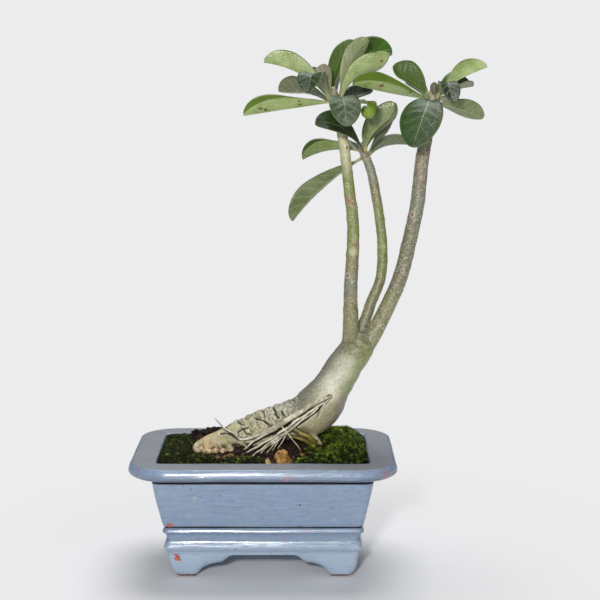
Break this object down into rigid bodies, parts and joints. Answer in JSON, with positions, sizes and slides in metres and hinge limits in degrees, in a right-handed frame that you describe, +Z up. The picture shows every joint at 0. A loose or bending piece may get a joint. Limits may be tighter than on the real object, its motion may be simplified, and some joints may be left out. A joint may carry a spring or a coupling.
{
  "type": "desert rose bonsai",
  "caption": "Desert rose bonsai: a leaning swollen caudex with thin aerial roots, slender stems and boat-shaped leaves in a footed rectangular painted clay pot.",
  "frame": {"origin": "centre of the overall box, on the plane that the pot's feet stand on", "axes": "+Z up, +X along the pot's long side towards the side that the plant leans to, -Y towards the viewer of the front"},
  "size_m": [0.3308, 0.166, 0.5038],
  "materials": {
    "pot_paint": "satin",
    "bark": "matte",
    "leaf": "satin",
    "moss": "matte",
    "soil": "matte",
    "gravel": "matte",
    "ochre_stone": "matte",
    "netting": "matte"
  },
  "bodies": {
    "root": {"drain_screen_left": "netting", "drain_screen_right": "netting", "drainage_gravel": "gravel", "leaf_a01": "leaf", "leaf_a02": "leaf", "leaf_a03": "leaf", "leaf_a04": "leaf", "leaf_a05": "leaf", "leaf_a06": "leaf", "leaf_a07": "leaf", "leaf_a08": "leaf", "leaf_a09": "leaf", "leaf_a10": "leaf", "leaf_a11": "leaf", "leaf_a12": "leaf", "leaf_a13": "leaf", "leaf_b01": "leaf", "leaf_b02": "leaf", "leaf_b03": "leaf", "leaf_b04": "leaf", "leaf_b05": "leaf", "leaf_b06": "leaf", "leaf_b07": "leaf", "leaf_c01": "leaf", "leaf_c02": "leaf", "leaf_c03": "leaf", "leaf_c04": "leaf", "leaf_c05": "leaf", "leaf_c06": "leaf", "leaf_c07": "leaf", "leaf_c08": "leaf", "leaf_c09": "leaf", "leaf_c10": "leaf", "moss_back": "moss", "moss_front_left": "moss", "moss_left": "moss", "moss_right": "moss", "pot": "pot_paint", "soil": "soil", "stone_chip": "ochre_stone", "stone_ochre": "ochre_stone", "trunk": "bark"}
  },
  "joints": []
}
